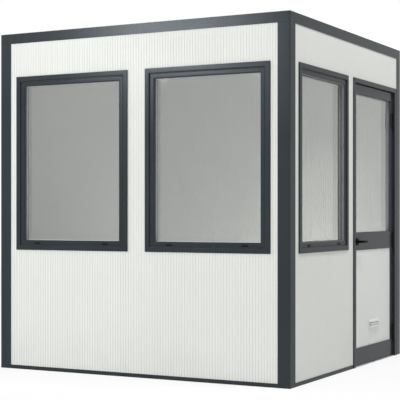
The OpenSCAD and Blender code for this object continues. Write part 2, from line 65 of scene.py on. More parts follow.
# %% A number that changes over a surface
class Field:
    """One socket of a node tree, used like a number."""

    def __init__(self, socket):
        self.socket = socket

    def node(self, kind, settings, sockets, output=0):
        """Adds a node to the same tree, with its settings first, and returns one of its outputs."""
        tree = self.socket.id_data
        made = tree.nodes.new(kind)
        for name, value in settings.items():
            setattr(made, name, value)
        for name, value in sockets.items():
            if isinstance(value, Field):
                tree.links.new(value.socket, made.inputs[name])
            else:
                made.inputs[name].default_value = value
        return Field(made.outputs[output])

    def maths(self, operation, first, second):
        return self.node("ShaderNodeMath", {"operation": operation}, {0: first, 1: second})

    def __add__(self, other):
        return self.maths("ADD", self, other)

    def __radd__(self, other):
        return self.maths("ADD", other, self)

    def __sub__(self, other):
        return self.maths("SUBTRACT", self, other)

    def __rsub__(self, other):
        return self.maths("SUBTRACT", other, self)

    def __mul__(self, other):
        return self.maths("MULTIPLY", self, other)

    def __rmul__(self, other):
        return self.maths("MULTIPLY", other, self)

    def __pow__(self, other):
        return self.maths("POWER", self, other)

    def __rpow__(self, other):
        return self.maths("POWER", other, self)

    def larger(self, other):
        return self.maths("MAXIMUM", self, other)

    def size(self):
        return self.maths("ABSOLUTE", self, 0.0)

    def from_whole(self):
        """Distance from the nearest whole number."""
        return self.maths("PINGPONG", self, 0.5)

    def fade(self, start, end):
        """0 at start and 1 at end, with a soft passage between."""
        return self.node("ShaderNodeMapRange", {"interpolation_type": "SMOOTHSTEP"},
                         {"Value": self, "From Min": start, "From Max": end})

    def stretched(self, factors):
        return self.node("ShaderNodeVectorMath", {"operation": "MULTIPLY"}, {0: self, 1: factors})

    def noise(self, scale, detail):
        """Cloudy noise at a place, about 0.5 on average, with so many lumps in a metre."""
        return self.node("ShaderNodeTexNoise", {}, {"Vector": self, "Scale": scale, "Detail": detail})

    def axis(self, index):
        return self.node("ShaderNodeSeparateXYZ", {}, {0: self}, index)

    def between(self, first, second):
        """A colour from first to second, with this field as the share of the second."""
        return self.node("ShaderNodeMix", {"data_type": "RGBA"}, {0: self, 6: first, 7: second}, 2)

    def bump(self, depth):
        """A normal for a surface whose height changes by this field times depth."""
        return self.node("ShaderNodeBump", {}, {"Height": self, "Distance": depth, "Strength": 1.0})


print("fields add, subtract, multiply and take powers")

# %% [markdown]
# ## Finishes
#
# Each finish of the record becomes one material with a single Principled shader. Colours are kept in
# the linear values that Blender works in, so a small helper turns the ordinary 0 to 255 values of a
# colour chart into them.

# %% Making a finish
def rgb(red, green, blue):
    """A colour chart's 0 to 255 values as linear values with full opacity."""
    def linear(part):
        share = part / 255
        return share / 12.92 if share <= 0.04045 else ((share + 0.055) / 1.055) ** 2.4
    return linear(red), linear(green), linear(blue), 1.0


def new_finish(name, constants):
    """A material, its shader and the place on the booth as a field; constants go on the shader."""
    material = bpy.data.materials.new(name)
    material.use_nodes = True
    nodes = material.node_tree.nodes
    shader = nodes["Principled BSDF"]
    for socket, value in constants.items():
        shader.inputs[socket].default_value = value
    return material, shader, Field(nodes.new("ShaderNodeTexCoord").outputs["Object"])


def feed(shader, fields):
    for socket, field in fields.items():
        shader.id_data.links.new(field.socket, shader.inputs[socket])


finishes = {}
print("anthracite is", [round(x, 3) for x in rgb(50, 55, 58)])

# %% [markdown]
# ### Anthracite powder coat
#
# Posts, rails, window frames and the door leaf are metal with a baked powder coat. It is satin, with a
# very fine orange-peel skin, and it holds a little pale dust close to the ground. The skin could be a
# displaced mesh, but it is only hundredths of a millimetre high, so a bump from fine noise is enough.

# %% Powder coat for the frame and for the joinery
# Pale dust at the foot of the booth; the same colour is used for the painted shade in the panel grooves.
DUST_AND_GROOVE_SHADE = rgb(150, 146, 138)
# The specular tint paints a sky blue into the sheen of the powder coat.
PAINT_SHINE_WITH_SKY_BLUE = {"Specular IOR Level": 0.065, "Specular Tint": (0.84, 0.93, 1.0, 1.0)}


def powder_coat(name, colour, lighter, gloss, peel_scale):
    material, shader, place = new_finish(name, PAINT_SHINE_WITH_SKY_BLUE)
    cloud = place.noise(2.4, 3.0)
    grain = place.noise(260.0, 2.0)
    height = place.axis(2)
    splash = (1 - height.fade(0.0, 0.16)) * place.noise(38.0, 4.0).fade(0.42, 0.72)
    rain = place.stretched((26.0, 26.0, 1.1)).noise(1.0, 3.0).fade(0.5, 0.8)
    paint = (cloud.fade(0.3, 0.7) * 0.6 + grain * 0.4).between(colour, lighter)
    dusty = (splash * 0.02 + rain * 0.03).between(paint, DUST_AND_GROOVE_SHADE)
    feed(shader, {"Base Color": dusty,
                  "Roughness": gloss + cloud * 0.08 + grain * 0.06 + splash * 0.1,
                  "Normal": place.noise(peel_scale, 2.0).bump(0.00006)})
    return material


POWDER_COATED = {  # colour, lighter colour, gloss, lumps of the skin in a metre
    "frame_paint": (rgb(50, 55, 58), rgb(55, 60, 63), 0.13, 620.0),
    "joinery_paint": (rgb(49, 54, 57), rgb(54, 59, 62), 0.13, 760.0)}
for name, look in POWDER_COATED.items():
    finishes[name] = powder_coat(name, *look)
print("powder coats:", ", ".join(POWDER_COATED))

# %% [markdown]
# ### White coil coating
#
# The wall panels are thin steel sheet on a foam core. The sheet is painted in the mill before it is
# rolled, so the white is even and smooth, with a faint grain. Outdoors it gets soft streaks where rain
# runs down and some splashed dirt at the foot of the wall. The grooves of the front and back walls get
# painted shade, a little stronger lower down. The grooves themselves are in the CAD panels, one every
# 20 mm from the middle of the wall, so the distance from a whole number of steps along X says where the
# painted shade lies.

# %% Panels, door panel and louvre
RIB_PITCH = 0.02
# The painted shade in the grooves lies only on the outer faces of the front and back walls.
GROOVE_SHADE_DEPTH = 0.015
GROOVE_SHADE_FADE = 0.004
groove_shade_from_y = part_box("back_left_panel")[1].y - GROOVE_SHADE_DEPTH


def coil_coating(name, colour, shade, gloss, grain_depth, groove_shade):
    material, shader, place = new_finish(name, {"Specular IOR Level": 0.45})
    cloud = place.noise(1.3, 3.0).fade(0.3, 0.7)
    streak = place.stretched((19.0, 19.0, 0.5)).noise(1.0, 4.0).fade(0.52, 0.78)
    height = place.axis(2)
    foot = (1 - height.fade(0.02, 0.38)) * place.noise(9.0, 5.0).fade(0.35, 0.75)
    groove = 1 - (place.axis(0) * (1 / RIB_PITCH)).from_whole().fade(0.1, 0.22)
    outside = place.axis(1).size().fade(groove_shade_from_y, groove_shade_from_y + GROOVE_SHADE_FADE)
    white = (cloud * 0.7 + streak * 0.3).between(colour, shade)
    # Painted shade in the grooves, a little stronger lower down on the wall.
    painted_groove_shade = groove * outside * (1.1 - height * 0.3) * groove_shade
    dirt_and_groove_shade = foot * 0.05 + streak * 0.02 + painted_groove_shade
    feed(shader, {"Base Color": dirt_and_groove_shade.between(white, DUST_AND_GROOVE_SHADE),
                  "Roughness": gloss + cloud * 0.06 + foot * 0.2,
                  "Normal": place.noise(900.0, 2.0).bump(grain_depth)})
    return material


COIL_COATED = {  # colour, shade, gloss, depth of the grain, painted shade in the grooves
    "panel_white": (rgb(227, 229, 225), rgb(222, 225, 220), 0.42, 0.00003, 0.22),
    "door_panel_white": (rgb(226, 230, 226), rgb(222, 226, 222), 0.36, 0.00002, 0.0),
    "louvre_white": (rgb(230, 231, 228), rgb(225, 226, 223), 0.28, 0.00002, 0.0)}
for name, look in COIL_COATED.items():
    finishes[name] = coil_coating(name, *look)
print("white finishes:", ", ".join(COIL_COATED))

# %% [markdown]
# ### Glass
#
# A sealed glazing unit lets most light through, greys it a little, and mirrors the bright surroundings
# more and more towards a grazing view. A refracting glass shader would keep light out of the cabin and
# leave it dark and noisy. Mixing a tinted see-through shader with a mirror, by how far the surface turns
# from the eye, lets daylight in and gives the same look. One block stands for two panes, so it mirrors
# more than a single sheet. The front panes mirror nearly twice as much as those of the door wall.

# %% Clear double glazing
FRONT_MIRROR = 0.17
DOOR_WALL_MIRROR = 0.09
MIRROR_CHANGE = 0.01
front_panes_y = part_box("front_left_window_glass")[1].y


def glazing(name, tint):
    material, shader, place = new_finish(name, {"Base Color": (1, 1, 1, 1), "Metallic": 1.0})
    nodes = material.node_tree.nodes
    facing = Field(nodes.new("ShaderNodeLayerWeight").outputs["Facing"])
    smear = place.noise(3.5, 4.0).fade(0.45, 0.8)
    door_wall = place.axis(1).fade(front_panes_y, front_panes_y + MIRROR_CHANGE)
    straight_mirror = FRONT_MIRROR + door_wall * (DOOR_WALL_MIRROR - FRONT_MIRROR)
    mirror = straight_mirror + (1 - straight_mirror) * facing ** 5.0
    clear = nodes.new("ShaderNodeBsdfTransparent")
    clear.inputs["Color"].default_value = tint
    feed(shader, {"Roughness": 0.012 + smear * 0.05})
    mixed = facing.node("ShaderNodeMixShader", {}, {
        0: mirror, 1: Field(clear.outputs[0]), 2: Field(shader.outputs[0])})
    material.node_tree.links.new(mixed.socket, nodes["Material Output"].inputs["Surface"])
    return material


finishes["glazing"] = glazing("glazing", (0.76, 0.765, 0.757, 1.0))
print("share of light mirrored:", FRONT_MIRROR, "in the front wall,", DOOR_WALL_MIRROR, "in the door wall")

# %% [markdown]
# ### Metal, plastic, rubber and floor
#
# The small fittings have their own finishes. Drawn aluminium shows fine lines along its length, black
# plastic is a little uneven from its mould, and rubber is dull. The floor has a grey vinyl sheet with
# round studs in a grid; the studs come from the distance to the middle of each square of the grid.

# %% Hardware finishes
def moulded(name, colour, lighter, gloss, scale, depth, shine):
    material, shader, place = new_finish(name, {"Specular IOR Level": shine})
    lumps = place.noise(scale, 3.0)
    handled = place.noise(35.0, 3.0).fade(0.4, 0.75)
    feed(shader, {"Base Color": (handled * 0.6 + lumps * 0.3).between(colour, lighter),
                  "Roughness": gloss + handled * 0.12 + lumps * 0.06,
                  "Normal": lumps.bump(depth)})
    return material


def drawn_metal(name, colour, darker, lines, gloss):
    material, shader, place = new_finish(name, {"Metallic": 1.0})
    line = place.stretched(lines).noise(1.0, 3.0)
    patina = place.noise(24.0, 4.0).fade(0.4, 0.8)
    feed(shader, {"Base Color": (patina * 0.5 + line * 0.3).between(colour, darker),
                  "Roughness": gloss + line * 0.16 + patina * 0.1,
                  "Normal": line.bump(0.00002)})
    return material


MOULDED = {  # colour, lighter colour, gloss, lumps in a metre, depth of the lumps, shine
    "black_hardware": (rgb(17, 18, 19), rgb(25, 26, 27), 0.5, 420.0, 0.00003, 0.03),
    "black_plastic": (rgb(14, 14, 15), rgb(20, 20, 21), 0.55, 300.0, 0.00005, 0.08),
    "rubber": (rgb(22, 22, 23), rgb(33, 33, 33), 0.68, 520.0, 0.00006, 0.08),
    "hinge_coat": (rgb(36, 40, 43), rgb(43, 47, 50), 0.4, 420.0, 0.00003, 0.04),
    "grey_rubber_painted_light": (rgb(150, 153, 155), rgb(138, 141, 143), 0.6, 420.0, 0.00005, 0.08),
    "seam_rubber_painted_light": (rgb(72, 77, 80), rgb(66, 71, 74), 0.16, 420.0, 0.00003, 0.08),
    "slate_rubber_painted_light": (rgb(88, 92, 95), rgb(80, 84, 87), 0.6, 420.0, 0.00005, 0.08),
    "pale_rubber": (rgb(198, 201, 203), rgb(188, 191, 193), 0.6, 420.0, 0.00005, 0.08),
    "white_rubber_painted_light": (rgb(238, 239, 239), rgb(230, 231, 231), 0.6, 420.0, 0.00005, 0.08),
    "sealant": (rgb(188, 189, 186), rgb(174, 175, 171), 0.5, 180.0, 0.0002, 0.08)}
DRAWN = {  # colour, darker colour, lines in a metre along X, Y and Z, gloss
    "mill_aluminium": (rgb(198, 200, 202), rgb(168, 170, 171), (900.0, 6.0, 900.0), 0.3),
    "steel": (rgb(190, 191, 192), rgb(150, 151, 152), (700.0, 700.0, 9.0), 0.26)}
for name, look in MOULDED.items():
    finishes[name] = moulded(name, *look)
for name, look in DRAWN.items():
    finishes[name] = drawn_metal(name, *look)
print("fittings:", ", ".join([*MOULDED, *DRAWN]))

# %% Studded vinyl for the floor
STUDS_PER_METRE = 34.0


def studded_vinyl(name, colour, darker):
    material, shader, place = new_finish(name, {"Specular IOR Level": 0.4})
    grid = place.stretched((STUDS_PER_METRE, STUDS_PER_METRE, 0.0))
    square = grid.node("ShaderNodeVectorMath", {"operation": "FRACTION"}, {0: grid})
    reach = square.node("ShaderNodeVectorMath", {"operation": "DISTANCE"},
                        {0: square, 1: (0.5, 0.5, 0.0)}, 1)
    stud = 1 - reach.fade(0.27, 0.36)
    speck = place.noise(420.0, 2.0).fade(0.55, 0.7)
    scuff = place.noise(5.0, 5.0).fade(0.4, 0.75)
    feed(shader, {"Base Color": (speck * 0.5 + scuff * 0.4).between(colour, darker),
                  "Roughness": 0.5 + scuff * 0.2 - stud * 0.1,
                  "Normal": stud.bump(0.0006)})
    return material


finishes["floor_vinyl"] = studded_vinyl("floor_vinyl", rgb(178, 178, 175), rgb(152, 152, 149))
print("studs every", round(1000 / STUDS_PER_METRE, 1), "mm")

# %% [markdown]
# ## Painting the solids
#
# Every CAD solid names its finish in the record, so one loop paints the whole booth. Pieces that are
# modelled further on take over some of these solids.

# %% Each solid gets the finish of its slot
slot_of = {part["node"]: part["material_slot"] for part in frame["record"]["subparts"]}
body_of = {node: body for body, nodes in frame["record"]["behaviour"]["bodies"].items() for node in nodes}
for node, slot in slot_of.items():
    mesh = frame["nodes"][node].data
    mesh.materials.clear()
    mesh.materials.append(finishes[slot])
print(len(slot_of), "solids painted in", len(set(slot_of.values())), "finishes")

# %% [markdown]
# ## Rounded edges
#
# A rolled or extruded metal edge is never knife sharp: it has a radius of about a millimetre, and the
# thin bright line along it is what makes a frame look real. The CAD solids have sharp edges. A copy of
# the solid is merged into clean faces, gets a Bevel modifier, and takes the solid's place.

# %% Small helpers for working by hand in code
MERGE_DISTANCE = 0.00001
SMOOTH_BELOW = math.radians(50)


def only(piece):
    """Selects one object alone and makes it active."""
    bpy.ops.object.select_all(action="DESELECT")
    piece.select_set(True)
    bpy.context.view_layer.objects.active = piece
    return piece


def edit(*steps):
    """Runs steps on the active object in edit mode."""
    bpy.ops.object.mode_set(mode="EDIT")
    for step in steps:
        step()
    bpy.ops.object.mode_set(mode="OBJECT")


def select_all():
    bpy.ops.mesh.select_all(action="SELECT")


def outwards():
    """Merges doubled points and turns every face outwards."""
    select_all()
    bpy.ops.mesh.remove_doubles(threshold=MERGE_DISTANCE)
    bpy.ops.mesh.normals_make_consistent(inside=False)


def round_edges(piece, width, segments=2, sharper_than=40):
    """Rounds the edges sharper than that many degrees and shades the piece smoothly."""
    only(piece)
    bevel = piece.modifiers.new("round_edges", "BEVEL")
    bevel.width = width
    bevel.segments = segments
    bevel.limit_method = "ANGLE"
    bevel.angle_limit = math.radians(sharper_than)
    bevel.use_clamp_overlap = True
    bpy.ops.object.modifier_apply(modifier=bevel.name)
    bpy.ops.object.shade_smooth_by_angle(angle=SMOOTH_BELOW)
    flats = piece.modifiers.new("keep_flats_flat", "WEIGHTED_NORMAL")
    flats.keep_sharp = True
    bpy.ops.object.modifier_apply(modifier=flats.name)


def finished(piece, name, body, finish, stands_for=()):
    """Names and paints a piece, lets it ride on its body and hides the solids it stands for."""
    piece.name = name
    piece.data.name = name
    piece.data.materials.clear()
    piece.data.materials.append(finishes[finish])
    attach(piece, body)
    if stands_for:
        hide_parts(*stands_for)
    return piece


def copied(source, name):
    """A copy of an object with a mesh of its own, selected alone."""
    piece = bpy.data.objects.new(name, source.data.copy())
    bpy.context.collection.objects.link(piece)
    return only(piece)


print("helpers ready")

# %% Softened copies of the frame and the joinery
EDGE = {"frame_paint": 0.0012, "joinery_paint": 0.002, "black_hardware": 0.0006, "black_plastic": 0.0008,
        "louvre_white": 0.0005}
MODELLED_LATER = {"outside_lever", "inside_lever"}
FLAT_WITHIN = math.radians(0.5)


def soften(node, width):
    """A copy of a solid with rounded edges, in the solid's place."""
    piece = copied(frame["nodes"][node], node + "_rounded")
    bpy.ops.mesh.customdata_custom_splitnormals_clear()
    edit(select_all,
         lambda: bpy.ops.mesh.remove_doubles(threshold=MERGE_DISTANCE),
         lambda: bpy.ops.mesh.dissolve_limited(angle_limit=FLAT_WITHIN))
    round_edges(piece, width)
    slot = slot_of[node]
    finish = "hinge_coat" if "hinge" in node and slot == "black_hardware" else slot
    return finished(piece, node + "_rounded", body_of[node], finish, [node])


softened = [soften(node, EDGE[slot]) for node, slot in slot_of.items()
            if slot in EDGE and node not in MODELLED_LATER]
print(len(softened), "softened pieces,", sum(len(p.data.polygons) for p in softened), "faces")

# %% [markdown]
# ## Rubber beads round the glass
#
# Glass never touches metal: a rubber bead closes the joint on both sides, black in the door wall and
# white in the front windows, where the white is also painted light against the shade of the deep reveal.
# It could be a curve with a profile, but a flat frame is simpler to make: a plane as large as the visible
# glass, inset by the bead's width, its middle deleted, and the rest extruded. The same steps serve every
# ring here.

# %% A raised ring on any face
FACING_UP = (0, 0, 0)


def turned(turn):
    """Rotation of a plane that stands upright and faces out of the wall with that turn: 0 is the front."""
    return math.pi / 2, 0, math.radians(turn)


def wall_out(turn):
    """The direction out of the wall with that turn."""
    return Vector((math.sin(math.radians(turn)), -math.cos(math.radians(turn)), 0))


def sheet(centre, rotation, width, height):
    """A bare rectangle at its size and place."""
    bpy.ops.object.select_all(action="DESELECT")
    bpy.ops.mesh.primitive_plane_add(size=1, location=centre, rotation=rotation)
    piece = bpy.context.object
    piece.scale = (width, height, 1)
    bpy.ops.object.transform_apply(location=True, rotation=True, scale=True)
    return piece


def draw_out(rotation, rise):
    """Extrudes what is selected along the normal of a sheet with that rotation."""
    away = rise * (Euler(rotation).to_matrix() @ Vector((0, 0, 1)))
    bpy.ops.mesh.extrude_region_move(TRANSFORM_OT_translate={"value": away})


def plate(centre, rotation, width, height, rise):
    """A sheet drawn out along its own normal."""
    piece = sheet(centre, rotation, width, height)
    edit(select_all, lambda: draw_out(rotation, rise), outwards)
    return piece


def ring(centre, rotation, width, height, band, rise):
    """A flat frame with an even band, drawn out along its own normal."""
    piece = sheet(centre, rotation, width, height)
    edit(select_all,
         lambda: bpy.ops.mesh.inset(thickness=band),
         lambda: bpy.ops.mesh.delete(type="FACE"),
         select_all,
         lambda: draw_out(rotation, rise),
         outwards)
    return piece


def joined(pieces):
    """Joins pieces into the first one."""
    only(pieces[0])
    for piece in pieces:
        piece.select_set(True)
    bpy.ops.object.join()
    return pieces[0]


print("plates and rings can face any wall or the sky")

# %% Beads on the windows and the door light
FRONT = 0
DOOR_WALL = 90
WINDOW_TURN = {"front_left_window": FRONT, "front_right_window": FRONT, "side_window": DOOR_WALL}
GLASS_TURN = {window + "_glass": turn for window, turn in WINDOW_TURN.items()} | {"door_glass": DOOR_WALL}
GLASS_HIDDEN = 0.012
BEAD_WIDTH = 0.004
BEAD_RISE = 0.003
BEAD_EDGE = 0.0012


def inside_border(node, border):
    """The middle of an upright solid, its width and height less a border all round, and its depth."""
    low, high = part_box(node)
    size = high - low
    return (low + high) / 2, max(size.x, size.y) - 2 * border, size.z - 2 * border, min(size.x, size.y)


def beads(glass, turn):
    """A bead on the outer and on the inner face of a glazing unit in the wall with that turn."""
    middle, width, height, depth = inside_border(glass, GLASS_HIDDEN)
    half = wall_out(turn) * (depth / 2)
    piece = joined([ring(middle + half, turned(turn), width, height, BEAD_WIDTH, BEAD_RISE),
                    ring(middle - half, turned(turn + 180), width, height, BEAD_WIDTH, BEAD_RISE)])
    round_edges(piece, BEAD_EDGE, segments=3)
    # White in the front windows is partly painted light against the shade of the reveal.
    finish = "white_rubber_painted_light" if turn == FRONT else "rubber"
    return finished(piece, glass.replace("_glass", "_beads"), body_of[glass], finish)


all_beads = [beads(glass, turn) for glass, turn in GLASS_TURN.items()]
print("beads:", ", ".join(piece.name for piece in all_beads))

# %% [markdown]
# ## Gaskets in the seams
#
# Between the fixed frame and the sash runs a narrow seam, and a rubber gasket in it keeps out wind and
# rain. The gasket's grey is lighter than the paint, as painted light against the shade in the seam. The
# glass is set deep, and the reveal beside it is lined with a grey strip that paints light into the shade
# of the reveal: slate grey in the front windows, and lighter in the door wall, where it shows as a pale
# bar from the front. Both are rings like the beads: the gasket lies on the floor of the seam, the lining
# stands upright on the bead.

# %% A gasket in each window seam
FRAME_FACE = 0.034
SEAM_WIDTH = 0.004
SEAM_FLOOR = 0.016
SEAM_ROOM = 0.0002
GASKET_RISE = 0.0076
GASKET_EDGE = 0.0008


def seam_gasket(window, turn):
    """A ring on the floor of the seam between frame and sash, with a hair of room at both sides."""
    middle, width, height, depth = inside_border(window + "_frame", FRAME_FACE + SEAM_ROOM)
    seat = middle + wall_out(turn) * (depth / 2 - SEAM_FLOOR)
    piece = ring(seat, turned(turn), width, height, SEAM_WIDTH - 2 * SEAM_ROOM, GASKET_RISE)
    round_edges(piece, GASKET_EDGE)
    # The gasket's grey is lighter than the paint: painted light against the shade in the seam.
    return finished(piece, window + "_gasket", "booth", "seam_rubber_painted_light")


gaskets = [seam_gasket(window, turn) for window, turn in WINDOW_TURN.items()]
print("gaskets:", ", ".join(piece.name for piece in gaskets))

# %% Linings beside the glass
LINING = 0.0015
LINING_EDGE = 0.0004
WINDOW_LINING_RISE = 0.018
DOOR_LINING_RISE = 0.005


def reveal_lining(glass, turn):
    """A thin ring that stands on the bead and lines the reveal of a glazed opening."""
    middle, width, height, depth = inside_border(glass, GLASS_HIDDEN)
    foot = middle + wall_out(turn) * (depth / 2 + BEAD_RISE)
    rise = DOOR_LINING_RISE if glass == "door_glass" else WINDOW_LINING_RISE
    piece = ring(foot, turned(turn), width, height, LINING, rise)
    round_edges(piece, LINING_EDGE)
    # Both lining greys are painted light in the shade of the reveal.
    finish = "slate_rubber_painted_light" if turn == FRONT else "grey_rubber_painted_light"
    return finished(piece, glass.replace("_glass", "_lining"), body_of[glass], finish)


linings = [reveal_lining(glass, turn) for glass, turn in GLASS_TURN.items()]
print("linings:", ", ".join(piece.name for piece in linings))

# %% [markdown]
# ## Spacer bars in the glazing
#
# A sealed pane is two sheets of glass with a pale plastic bar between them along the edge. Seen at a
# slant through the outer sheet, the bar makes the light line beside the glass. In the front windows it is
# white, which is also painted light against the shade behind the glass. It is one more ring, nearly as
# deep as the glazing unit, in line with the edge of the sash.

# %% A bar round the edge of each pane
SPACER = 0.0014
SPACER_EDGE = 0.0003
SPACER_LAP = 0.0004
SPACER_ROOM = 0.0005


def spacer_bar(glass, turn):
    """A ring inside a glazing unit, with a hair of glass before and behind it."""
    middle, width, height, depth = inside_border(glass, GLASS_HIDDEN - SPACER_LAP)
    foot = middle - wall_out(turn) * (depth / 2 - SPACER_ROOM)
    piece = ring(foot, turned(turn), width, height, SPACER, depth - 2 * SPACER_ROOM)
    round_edges(piece, SPACER_EDGE)
    # White in the front windows is partly painted light against the shade behind the glass.
    finish = "white_rubber_painted_light" if turn == FRONT else "pale_rubber"
    return finished(piece, glass.replace("_glass", "_spacer"), body_of[glass], finish)


spacers = [spacer_bar(glass, turn) for glass, turn in GLASS_TURN.items()]
print("spacer bars in", len(spacers), "panes")

# %% [markdown]
# ## Door seal
#
# The leaf closes against a rubber seal that runs up both jambs and across the head, never along the
# threshold. It could be one bent tube. Three straight bars with rounded edges are what a fitter cuts
# from the roll, and they meet in plain butt joints on the face of the stop.

# %% A seal on three sides of the stop
SEAL_BAND = 0.008
SEAL_RISE = 0.0045
SEAL_EDGE = 0.0018
SEAL_PAST_LOCK_EDGE = 0.003
SEAL_PAST_OTHER_EDGES = 0.001
SEAL_ABOVE_FOOT = 0.02
STOP_BEHIND_LEAF = 0.006
leaf_low, leaf_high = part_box("door_leaf")


def seal_bar(y, z, width, height):
    """A bar of seal that lies on the face of the stop."""
    piece = plate((leaf_low.x - STOP_BEHIND_LEAF, y, z), turned(DOOR_WALL), width, height, SEAL_RISE)
    round_edges(piece, SEAL_EDGE, segments=3)
    return piece


def three_sided_seal():
    """Two upright bars and one across their tops."""
    lock_side = leaf_low.y - SEAL_PAST_LOCK_EDGE
    hinge_side = leaf_high.y + SEAL_PAST_OTHER_EDGES
    top = leaf_high.z + SEAL_PAST_OTHER_EDGES
    foot = leaf_low.z + SEAL_ABOVE_FOOT
    half_band = SEAL_BAND / 2
    upright_z = (foot + top - SEAL_BAND) / 2
    upright = top - SEAL_BAND - foot
    bars = [seal_bar(lock_side + half_band, upright_z, SEAL_BAND, upright),
            seal_bar(hinge_side - half_band, upright_z, SEAL_BAND, upright),
            seal_bar((lock_side + hinge_side) / 2, top - half_band, hinge_side - lock_side, SEAL_BAND)]
    return finished(joined(bars), "door_seal", "booth", "rubber")


door_seal = three_sided_seal()
print("seal has", len(door_seal.data.polygons), "faces")

# %% [markdown]
# ## Lever handles
#
# A lever is a round bar that comes out of its rose, turns through a tight elbow and runs along the
# door, growing thinner to a rounded tip. It could be a bent curve with a round profile, but its taper is
# easier to set in given steps: a disc is extruded out of the door, spun a quarter turn for the elbow,
# extruded again and scaled down. The inside lever is a mirrored copy.

# %% The outside lever
NECK_RADIUS = 0.009
NECK_FIT = 0.97
LEVER_SIDES = 28
LEVER_EDGE = 0.0022
ELBOW = 0.014
ELBOW_STEPS = 9
MIDDLE_AT = 0.45
MIDDLE_SHARE = 0.92
TIP_SHARE = 0.74
TIP_END = 0.03
TIP_END_SHARE = 0.7
TIP_ROOM = 0.002
lever_low, lever_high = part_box("outside_lever")
spindle = Vector((lever_low.x, lever_low.y + NECK_RADIUS, (lever_low.z + lever_high.z) / 2))
grip_x = lever_high.x - NECK_RADIUS
tip_y = lever_high.y - TIP_ROOM


def disc(centre, radius, vertices):
    """A flat disc that faces +X."""
    bpy.ops.object.select_all(action="DESELECT")
    bpy.ops.mesh.primitive_circle_add(vertices=vertices, radius=radius, fill_type="NGON",
                                      location=centre, rotation=(0, math.pi / 2, 0))
    bpy.ops.object.transform_apply(location=True, rotation=True, scale=True)
    return bpy.context.object


def grow(direction, share):
    """Extrudes what is selected and scales its new end."""
    bpy.ops.mesh.extrude_region_move(TRANSFORM_OT_translate={"value": direction})
    bpy.ops.transform.resize(value=(share, 1, share))


def lever_bar():
    """Disc, neck, elbow and tapering grip."""
    piece = disc(spindle, NECK_RADIUS * NECK_FIT, LEVER_SIDES)
    elbow_x = grip_x - ELBOW
    length = tip_y - (spindle.y + ELBOW)
    edit(select_all,
         lambda: bpy.ops.mesh.extrude_region_move(
             TRANSFORM_OT_translate={"value": (elbow_x - spindle.x, 0, 0)}),
         lambda: bpy.ops.mesh.spin(steps=ELBOW_STEPS, angle=-math.pi / 2, axis=(0, 0, 1),
                                   center=(elbow_x, spindle.y + ELBOW, spindle.z)),
         lambda: grow((0, length * MIDDLE_AT, 0), MIDDLE_SHARE),
         lambda: grow((0, length * (1 - MIDDLE_AT - TIP_END), 0), TIP_SHARE / MIDDLE_SHARE),
         lambda: grow((0, length * TIP_END, 0), TIP_END_SHARE),
         outwards)
    round_edges(piece, LEVER_EDGE, segments=4, sharper_than=25)
    return piece


outside_lever = finished(lever_bar(), "outside_lever_bar", "lever", "black_hardware",
                         stands_for=["outside_lever"])
print("lever has", len(outside_lever.data.polygons), "faces")

# %% The inside lever, mirrored through the leaf
leaf_middle_x = (leaf_low.x + leaf_high.x) / 2


def mirrored_lever(source):
    """A copy of the outside lever on the other side of the leaf."""
    piece = copied(source, "inside_lever_bar")
    edit(select_all,
         lambda: bpy.ops.transform.resize(value=(-1, 1, 1), center_override=(leaf_middle_x, 0, 0)),
         outwards)
    return finished(piece, "inside_lever_bar", "lever", "black_hardware",
                    stands_for=["inside_lever"])


inside_lever = mirrored_lever(outside_lever)
print("inside lever from x", round(min(v.co.x for v in inside_lever.data.vertices), 4))

# %% [markdown]
# ## Latch
#
# A steel face plate with a spring latch sits in the edge of the leaf, and a striking plate with a
# raised rim in the jamb. Both are seen only when the door is open, so plain forms are enough: thin
# sheets drawn out a millimetre or two, and a latch that is a small block with one edge pushed back to a
# wedge.

# %% Face plate with latch in the edge of the leaf
LOCK_PLATE = (0.022, 0.165, 0.0015)
LATCH = (0.011, 0.017, 0.0025)
LATCH_SLOPE = 0.8
LOCK_PLATE_EDGE = 0.0005
LATCH_EDGE = 0.0004


def nudge(piece, chosen, move):
    """Moves the corners of a piece whose place passes the test."""
    only(piece)
    edit(lambda: bpy.ops.mesh.select_all(action="DESELECT"))
    for vertex in piece.data.vertices:
        vertex.select = chosen(vertex.co)
    edit(lambda: bpy.ops.transform.translate(value=move))


def face_plate():
    """A steel strip with a wedge-shaped latch in its middle."""
    front_y = leaf_low.y - LOCK_PLATE[2]
    latch_middle_y = front_y - LATCH[2] / 2
    strip = plate((leaf_middle_x, leaf_low.y, spindle.z), turned(FRONT), *LOCK_PLATE)
    latch = plate((leaf_middle_x, front_y, spindle.z), turned(FRONT), *LATCH)
    nudge(latch, lambda place: place.y < latch_middle_y and place.x > leaf_middle_x,
          (0, LATCH[2] * LATCH_SLOPE, 0))
    round_edges(strip, LOCK_PLATE_EDGE)
    round_edges(latch, LATCH_EDGE)
    return finished(joined([strip, latch]), "latch_face_plate", "door", "steel")


lock_plate = face_plate()
print("face plate", [round(x, 4) for x in lock_plate.dimensions])

# %% Striking plate in the jamb
LOCK_GAP = 0.007
STRIKE = (0.022, 0.12, 0.001)
STRIKE_POCKET = (0.016, 0.026, 0.0015)
STRIKE_RIM = 0.0005
STRIKE_EDGE = 0.0002
jamb_face_y = leaf_low.y - LOCK_GAP


def striking_plate():
    """A thin steel strip with a raised rim round the latch's pocket."""
    place = Vector((leaf_middle_x, jamb_face_y, spindle.z))
    strip = plate(place, turned(180), *STRIKE)
    rim = ring(place + Vector((0, STRIKE[2], 0)), turned(180), *STRIKE_POCKET, STRIKE_RIM)
    round_edges(strip, STRIKE_EDGE)
    round_edges(rim, STRIKE_EDGE)
    return finished(joined([strip, rim]), "striking_plate", "booth", "steel")


